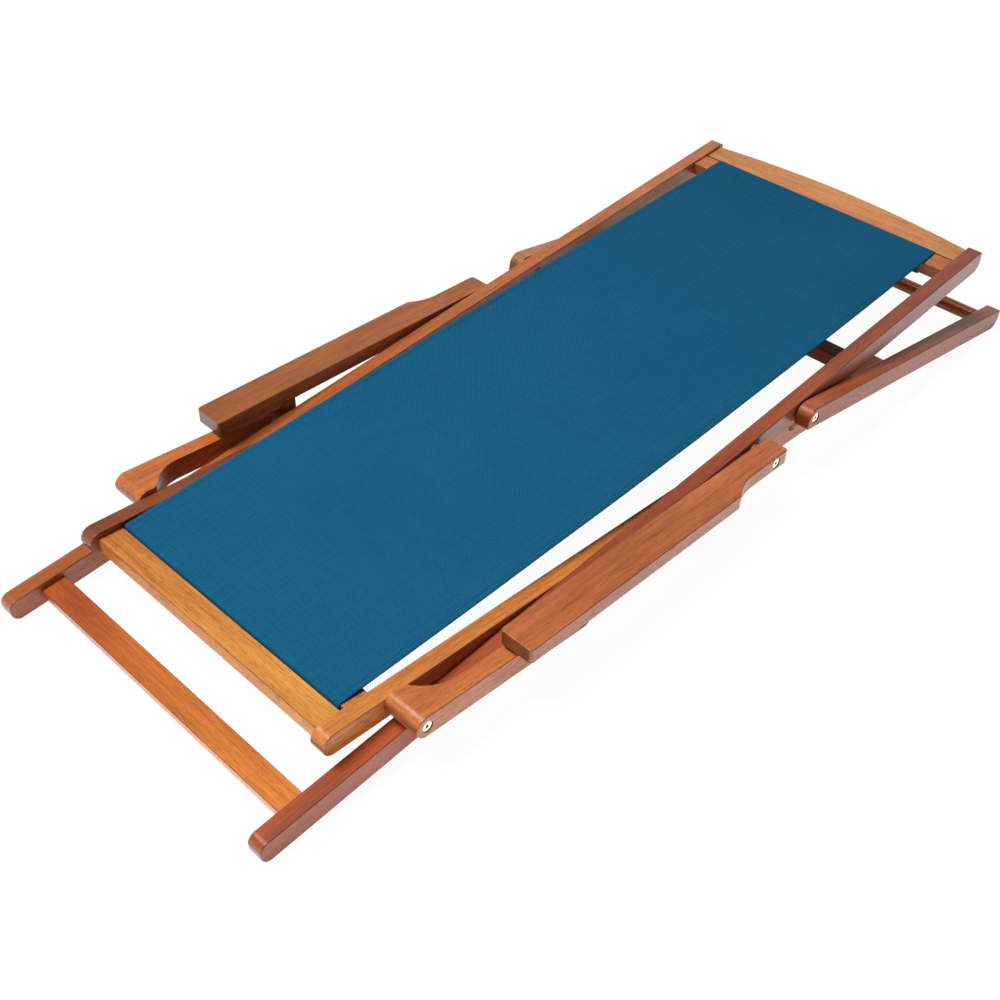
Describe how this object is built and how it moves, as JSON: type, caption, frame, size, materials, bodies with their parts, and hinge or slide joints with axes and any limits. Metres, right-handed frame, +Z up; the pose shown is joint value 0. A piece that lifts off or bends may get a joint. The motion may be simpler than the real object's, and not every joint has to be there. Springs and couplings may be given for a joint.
{
  "type": "folding sling deck chair",
  "caption": "Folding wooden deck chair with arms and a blue cloth sling, shown folded flat; opens on pivot bolts and reclines by a prop frame in notched rails.",
  "frame": {"origin": "on the floor under the middle of the folded chair's length and width", "axes": "+X from the foot end to the head end along the folded chair, +Y to the sitter's right, +Z up from the floor"},
  "size_m": [1.4264, 0.609, 0.1497],
  "materials": {
    "red_hardwood": "oiled reddish-brown hardwood, satin",
    "golden_hardwood": "oiled golden hardwood, satin",
    "brass": "brass-plated steel, polished",
    "sling_cloth": "teal-blue plain-weave polyester cloth"
  },
  "bodies": {
    "seat_frame": {"seat_rail_left": "red_hardwood", "seat_rail_right": "red_hardwood", "seat_front_rail": "golden_hardwood", "seat_sling_bar": "golden_hardwood", "seat_rear_stretcher": "red_hardwood", "frame_pivot_bolts": "brass", "frame_pivot_nuts": "brass", "post_foot_bolts": "brass", "post_foot_nuts": "brass", "sling": "sling_cloth"},
    "back_frame": {"back_rail_left": "red_hardwood", "back_rail_right": "red_hardwood", "crest_rail": "golden_hardwood", "head_sling_bar": "golden_hardwood", "foot_stretcher": "golden_hardwood", "frame_pivot_washers": "brass", "prop_pivot_bolts": "brass", "prop_pivot_nuts": "brass", "prop_pivot_washers": "brass", "arm_pivot_bolts": "brass", "arm_pivot_nuts": "brass", "arm_pivot_spacers": "brass"},
    "prop": {"prop_rail_left": "red_hardwood", "prop_rail_right": "red_hardwood", "prop_bar": "golden_hardwood"},
    "arm_left": {"arm_left": "red_hardwood", "arm_cleat_left": "red_hardwood", "cleat_insert_left": "brass"},
    "post_left": {"arm_post_left": "red_hardwood", "post_top_bolt_left": "brass"},
    "arm_right": {"arm_right": "red_hardwood", "arm_cleat_right": "red_hardwood", "cleat_insert_right": "brass"},
    "post_right": {"arm_post_right": "red_hardwood", "post_top_bolt_right": "brass"}
  },
  "joints": [
    {"name": "fold", "type": "hinge", "parent": "seat_frame", "child": "back_frame", "pos_m": [-0.28008, 0, 0.05255], "axis": [0, -1, 0], "range_deg": [0, 53.38], "deforming": ["sling"]},
    {"name": "prop_swing", "type": "hinge", "parent": "back_frame", "child": "prop", "pos_m": [0.19802, 0, 0.09521], "axis": [0, 1, 0], "range_deg": [0, 102.63]},
    {"name": "post_left_swing", "type": "hinge", "parent": "seat_frame", "child": "post_left", "pos_m": [-0.50796, -0.27, 0.07062], "axis": [0, -1, 0], "range_deg": [0, 78.29]},
    {"name": "arm_left_swing", "type": "hinge", "parent": "back_frame", "child": "arm_left", "pos_m": [0.09344, -0.273, 0.08588], "axis": [0, 1, 0], "range_deg": [0, 48.97]},
    {"name": "post_right_swing", "type": "hinge", "parent": "seat_frame", "child": "post_right", "pos_m": [-0.50796, 0.27, 0.07062], "axis": [0, -1, 0], "range_deg": [0, 78.29]},
    {"name": "arm_right_swing", "type": "hinge", "parent": "back_frame", "child": "arm_right", "pos_m": [0.09344, 0.273, 0.08588], "axis": [0, 1, 0], "range_deg": [0, 48.97]}
  ],
  "couplings": [
    {"joint": "post_left_swing", "follows": "fold", "ratio": 1.4657},
    {"joint": "arm_left_swing", "follows": "fold", "ratio": 0.91644},
    {"joint": "post_right_swing", "follows": "fold", "ratio": 1.4657},
    {"joint": "arm_right_swing", "follows": "fold", "ratio": 0.91644}
  ]
}
